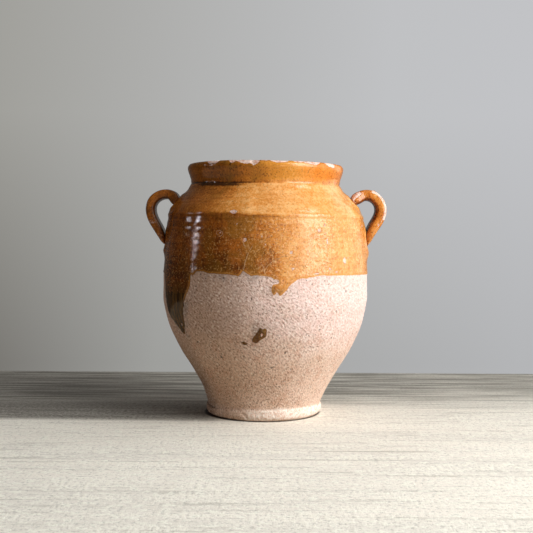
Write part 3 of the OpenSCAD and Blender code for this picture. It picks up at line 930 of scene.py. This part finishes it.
def clay_colour(n, s):
    """Cream to pink, with painted shade that makes it browner on the left, darker over the left flank and a
    little darker on the right flank, greyer under the glaze, browner towards the foot, with grain and pits.
    """
    here, side, height = s.here, s.side, s.height
    clay = n.mix(n.step(s.mottle, 0.35, 0.65), (249, 228, 222), (243, 213, 205))
    # Painted shade: browner on the left, away from the window, and darker over the left flank, less so near
    # the foot
    clay = n.coat(clay, 0.7, s.left, (222, 186, 160))
    left_flank_shade = n.mul(n.step(side, -0.002, -0.03), n.step(side, -0.092, -0.05, 0.45, 1.0))
    clay = n.coat(clay, 0.34, n.mul(left_flank_shade, n.step(height, 0.05, 0.1, 0.25, 1.0)), (140, 118, 102))
    warm = n.mul(n.step(s.big, 0.45, 0.68), n.step(height, 0.16, 0.09, 0.12, 0.32))
    clay = n.mix(warm, clay, (222, 186, 158))
    # Painted shade: a little darker and pinker on the right flank, which faces the window
    clay = n.coat(clay, 0.6, n.step(side, 0.062, 0.088), (238, 213, 207))
    clay = n.mix(n.step(height, 0.115, 0.045, 0.0, 0.5), clay, (252, 222, 190))
    blotch = n.mul(n.step(n.noise(here, 85, 4, 0.65), 0.5, 0.64), n.step(height, 0.115, 0.075))
    clay = n.coat(clay, 0.34, blotch, (208, 146, 108))
    under_glaze = n.mul(n.step(s.glaze, -11, -3), n.step(side, 0.02, -0.02))
    smudge = n.mul(n.step(n.noise(here, 60, 4, 0.6), 0.44, 0.62), under_glaze)
    clay = n.coat(clay, 0.65, smudge, (150, 142, 138))
    patches = n.noise(here, 34, 4, 0.65)
    lower = n.mul(n.step(height, 0.085, 0.045), n.step(side, 0.055, 0.005, 0.25, 1.0))
    clay = n.coat(clay, 0.28, n.mul(lower, n.step(patches, 0.34, 0.6)), (202, 154, 122))
    # Painted shade on the lower wall's left flank, in patches
    flank = n.math("SUBTRACT", n.mul(side, -1.0), n.math("ABSOLUTE", s.depth))
    painted_flank_shade = n.mul(n.step(height, 0.105, 0.055), n.step(patches, 0.3, 0.62, 0.4, 0.62))
    clay = n.mix(n.mul(n.step(flank, 0.002, 0.034), painted_flank_shade), clay, (104, 78, 58))
    clay = n.coat(clay, 0.5, n.step(s.small, 0.47, 0.67), (184, 148, 122))
    coarse_grain = n.mul(n.step(s.grain, 0.51, 0.66), n.step(side, 0.07, 0.0, 0.46, 0.94))
    clay = n.mix(coarse_grain, clay, (142, 108, 86))
    clay = n.coat(clay, 0.8, n.step(s.grain, 0.47, 0.34), (255, 247, 238))
    clay = n.coat(clay, 0.75, s.pores, (104, 80, 64))
    rubbed = n.mix(n.step(s.small, 0.46, 0.62), (255, 242, 230), (240, 208, 188))
    return n.coat(clay, 0.94, n.attribute("foot_band"), rubbed)


def pot_material():
    n = Nodes(bpy.data.materials.new("glazed_earthenware"))
    s = SimpleNamespace(here=n.place())
    s.side, s.depth, s.height = n.split(s.here)
    for name in ("glaze", "tone", "dark", "scuff"):
        setattr(s, name, n.attribute(name))
    chip, dirt_and_shade = n.attribute("chip"), n.attribute("dirt_and_shade")
    s.left = n.step(s.side, 0.02, -0.07)
    s.big = n.noise(s.here, 38, 3)
    s.mottle = n.noise(s.here, 120, 4, 0.6)
    s.small = n.noise(s.here, 420, 4, 0.65)
    s.grain = n.noise(n.slanted(-38, 1.5, 0.105), 560, 3, 0.7)
    s.pores = n.mul(n.step(n.cells(s.here, 260), 0.2, 0.11), n.step(n.noise(s.here, 90, 2), 0.46, 0.56))
    off_line = n.math("ABSOLUTE", n.add(n.attribute("scratch"), n.off(s.small, 0.5)))
    s.line = n.mul(n.step(off_line, 0.42, 0.2), n.step(n.attribute("scratch_on"), 0.4, 0.6))
    s.line = n.mul(s.line, n.step(s.mottle, 0.4, 0.52))

    covered = n.step(n.add(s.glaze, n.off(s.small, 1.5)), -0.22, 0.22)
    chipped = n.step(n.add(chip, n.off(s.small, 0.6)), 0.4, 0.6)
    base = n.mix(covered, clay_colour(n, s), glaze_colour(n, s))
    bare = n.mix(n.step(n.noise(s.here, 230, 3, 0.7), 0.46, 0.62), (242, 218, 206), (216, 158, 134))
    base = n.coat(base, 0.95, chipped, bare)
    # Soot, grime and painted shade darken the pot where that field says so
    base = n.coat(base, 0.85, n.step(n.add(dirt_and_shade, n.off(s.small, 0.7)), 0.25, 0.75), (48, 30, 18))

    shine = n.math("MULTIPLY", covered, n.math("SUBTRACT", 1.0, chipped), clamp=True)
    shine = n.mul(shine, n.math("SUBTRACT", 1.0, n.mul(s.line, 0.7)))
    dull = n.math("SUBTRACT", 1.0, shine)
    speckle = n.mul(s.scuff, n.step(n.noise(s.here, 480, 3, 0.6), 0.5, 0.66))
    gloss = n.add(n.add(0.09, n.mul(n.step(s.small, 0.45, 0.75), 0.1)), n.mul(s.scuff, 0.1))
    gloss = n.add(gloss, n.mul(speckle, 0.25))
    roughness = n.add(n.mul(shine, gloss), n.mul(dull, 0.92))

    tooth = n.noise(s.here, 1500, 2, 0.6)
    relief = n.add(n.mul(s.grain, 1.5), n.add(n.mul(s.small, 0.8), n.mul(tooth, 0.35)))
    relief = n.mul(n.add(relief, n.mul(s.pores, -1.2)), dull)
    skin = n.add(n.mul(s.mottle, n.step(s.side, -0.04, 0.0, 0.16, 0.5)),
                 n.mul(s.small, n.step(s.side, -0.03, 0.03, 0.06, 0.16)))
    skin = n.mul(n.add(skin, n.mul(speckle, -0.24)), shine)
    total = n.add(n.add(relief, skin), n.mul(covered, 0.6))
    return n.finish(base, roughness, total, 0.0008, 0.9, 1.52)


def table_material():
    """Whitewashed, rough-sawn planks that run along X. The camera sees them paler than the pot does."""
    n = Nodes(bpy.data.materials.new("whitewashed_table"))
    side, depth, _ = n.split(n.place())
    planks = n.noise(n.place((0.1, 1, 1)), 16, 3, 0.5)
    fibre = n.noise(n.place((0.05, 1, 1)), 120, 4, 0.65)
    paint = n.noise(n.place((1.1, 1, 1)), 260, 4, 0.7)
    ridges = n.noise(n.place((0.55, 1, 1)), 170, 3, 0.6)
    patches = n.step(n.noise(n.place((0.35, 1, 1)), 34, 4, 0.6), 0.42, 0.6)
    ticks = n.mul(n.noise(n.place((1, 0.16, 1)), 330, 2, 0.5), patches)
    base = n.mix(n.step(planks, 0.36, 0.64), (254, 250, 238), (242, 239, 228))
    base = n.coat(base, 0.6, n.step(fibre, 0.5, 0.7), (182, 180, 168))
    base = n.coat(base, 0.95, n.mul(n.step(paint, 0.5, 0.57), patches), (255, 254, 242))
    base = n.coat(base, 0.9, n.step(ridges, 0.54, 0.58), (255, 255, 242))
    base = n.coat(base, 0.55, n.step(paint, 0.47, 0.38), (188, 188, 180))
    base = n.coat(base, 0.7, n.step(ticks, 0.48, 0.57), (255, 253, 240))
    seam = n.math("ABSOLUTE", n.add(depth, n.add(0.226, n.off(planks, 0.01))))
    seam = n.mul(n.step(seam, 0.003, 0.0008), n.step(fibre, 0.42, 0.58), 0.35)
    base = n.mix(seam, base, (120, 112, 98))
    cracks = n.step(n.noise(n.place((0.035, 1, 1)), 70, 2, 0.4), 0.69, 0.73)
    base = n.coat(base, 0.5, cracks, (136, 126, 110))
    # The far side lies outside the window's light, most of all on the left
    wander = n.add(n.off(fibre, 0.06), n.mul(side, -0.08))
    far = n.step(n.add(depth, wander), -0.06, 0.14)
    base = n.mix(n.mul(far, n.step(fibre, 0.4, 0.58, 0.48, 0.86)), base, (90, 88, 80))
    # What the pot keeps from the window lies on the left, with a crisp near edge
    near = n.step(n.add(depth, n.add(n.off(fibre, 0.012), n.mul(side, 0.02))), -0.066, -0.046)
    reach = n.math("MAXIMUM", n.step(depth, 0.02, 0.1, 1.0, 0.0), n.step(side, -0.1, -0.26, 0.0, 0.42))
    shade = n.mul(near, reach, n.step(side, -0.025, -0.07))
    shade = n.mul(shade, n.step(n.add(paint, fibre), 0.85, 1.15, 0.84, 0.52))
    base = n.mix(shade, base, (58, 52, 45))
    # Painted shade: a little darker behind the table's near strip
    base = n.coat(base, 0.12, n.step(depth, -0.24, -0.12), (150, 146, 136))
    # Painted contact shadow where the foot stands
    foot_x, foot_r = -0.003, 0.061
    square = [n.math("POWER", v, 2.0) for v in (n.add(side, -foot_x), depth)]
    base = n.mix(n.step(n.math("SQRT", n.add(*square)), foot_r + 0.0035, foot_r), base, (36, 32, 28))
    base = n.mix(n.seen(), (182, 166, 142), base)
    relief = n.add(n.mul(ridges, 0.9), n.mul(ticks, 0.6))
    relief = n.add(n.mul(fibre, 0.6), n.add(n.mul(paint, 1.1), relief))
    return n.finish(base, 0.7, relief, 0.0009, 0.6, 1.45)


# Table, lamps, world and camera, in metres

def table():
    far, near, half, thickness = 0.284, -1.6, 1.6, 0.03
    x, y, z = (-half, half), (near, far), (-thickness, 0.0)
    corners = [(x[i], y[j], z[k]) for k in (0, 1) for j in (0, 1) for i in (0, 1)]
    sides = [(0, 2, 3, 1), (4, 5, 7, 6), (0, 1, 5, 4), (2, 6, 7, 3), (0, 4, 6, 2), (1, 3, 7, 5)]
    mesh = bpy.data.meshes.new("table")
    mesh.from_pydata(corners, [], sides)
    obj = bpy.data.objects.new("table", mesh)
    bpy.context.scene.collection.objects.link(obj)
    obj.data.materials.append(table_material())


# Area lamps: name, azimuth from the front towards +X, elevation, distance, size, watts and tint
LAMPS = [
    ("window", 58.5, 26, 1.7, (1.05, 1.7), 34.8, (1.0, 0.975, 0.955)),
    ("window_back", 108, 20, 1.7, (2.1, 1.5), 9, (1.0, 0.98, 0.98)),
    ("low_pane", 34, 0, 2.0, (0.8, 0.35), 2.0, (1.0, 0.97, 0.94)),
    ("sky", 45, 64, 1.6, (1.4, 1.2), 1.5, (0.96, 0.98, 1.0)),
    ("pane_top", 60, 38, 1.6, (0.75, 0.08), 2.6, (1.0, 0.98, 0.95)),
    ("pane_high", -82.0, 15.5, 1.5, (0.07, 0.2), 1.2, (0.93, 0.92, 1.0)),
    ("pane_mid", -83.0, 9.0, 1.5, (0.03, 0.12), 0.3, (1.0, 0.9, 0.92)),
    ("pane_low", -86.0, 4.6, 1.5, (0.04, 0.035), 0.1, (1.0, 0.84, 0.86)),
    ("pane_far", -97.0, 13, 1.5, (0.03, 0.2), 0.35, (0.88, 0.9, 1.0)),
]


def lamp(name, azimuth, elevation, distance, size, power, tint):
    """A rectangular area lamp that looks at the pot."""
    data = bpy.data.lights.new(name, "AREA")
    data.shape = "RECTANGLE"
    data.size, data.size_y = size
    data.energy = power
    data.color = tint
    a, e = math.radians(azimuth), math.radians(elevation)
    target = Vector((0, 0, 0.15))
    place = target + distance * Vector((math.sin(a) * math.cos(e), -math.cos(a) * math.cos(e), math.sin(e)))
    obj = bpy.data.objects.new(name, data)
    turned = (place - target).to_track_quat("Z", "Y").to_matrix().to_4x4()
    obj.matrix_world = Matrix.Translation(place) @ turned
    bpy.context.scene.collection.objects.link(obj)


def world():
    """The room's wall for the camera, and a dim room, warm and dark on the left, for everything else."""
    n = Nodes(bpy.data.worlds.new("room"))
    across, _, up = n.split(n.new("ShaderNodeTexCoord").outputs["Generated"])

    def room(axis, low, high, stops):
        """Colours at places between low and high along an axis of the view's direction."""
        at = n.new("ShaderNodeMapRange")
        for socket, value in zip(at.inputs, (axis, low, high)):
            n.put(socket, value)
        return n.ramp(at.outputs[0], [((place - low) / (high - low), c) for place, c in stops])

    upper = [(-0.26, (161, 160, 155)), (0.12, (192, 193, 195)), (0.25, (194, 195, 198))]
    lower = [(-0.26, (122, 120, 115)), (-0.11, (158, 158, 155)), (0.25, (180, 181, 183))]
    upper, lower = (room(across, -0.3, 0.3, stops) for stops in (upper, lower))
    ambient = room(across, -1.0, 1.0, [(-0.9, (0.025, 0.02, 0.015, 1)), (-0.3, (0.1, 0.088, 0.078, 1)),
                                       (0.0, (0.15, 0.137, 0.124, 1)), (0.9, (0.36, 0.37, 0.38, 1))])
    wall = n.mix(room(up, -0.14, 0.12, [(-0.135, (1, 1, 1, 1)), (0.11, (0, 0, 0, 1))]), upper, lower)
    either = n.new("ShaderNodeMixShader")
    n.put(either.inputs[0], n.seen())
    for socket, light in zip(either.inputs[1:], (ambient, wall)):
        background = n.new("ShaderNodeBackground")
        n.put(background.inputs[0], light)
        n.put(socket, background.outputs[0])
    n.put(n.new("ShaderNodeOutputWorld").inputs[0], either.outputs[0])
    bpy.context.scene.world = n.owner


def camera():
    """The fitted viewpoint of the photograph, with focal length and offset in its pixels."""
    frame_size, sensor = 533, 36.0
    focal, distance, height = 984.9, 1.072, 0.2024
    pitch, roll, offset = math.radians(2.35), math.radians(0.335), -0.91
    data = bpy.data.cameras.new("camera")
    data.sensor_fit = "HORIZONTAL"
    data.sensor_width = sensor
    data.lens = sensor * focal / frame_size
    data.shift_x = -offset / frame_size
    data.clip_start = 0.02
    obj = bpy.data.objects.new("camera", data)
    look = Matrix.Rotation(math.pi / 2 - pitch, 4, "X") @ Matrix.Rotation(roll, 4, "Z")
    obj.matrix_world = Matrix.Translation((0, -distance, height)) @ look
    bpy.context.scene.collection.objects.link(obj)
    bpy.context.scene.camera = obj


pot = pot_body()
pot.data.materials.clear()
pot.data.materials.append(pot_material())
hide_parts("pot")
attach(pot, "root")
table()
for values in LAMPS:
    lamp(*values)
world()
camera()
bpy.context.scene.view_settings.view_transform = "Standard"
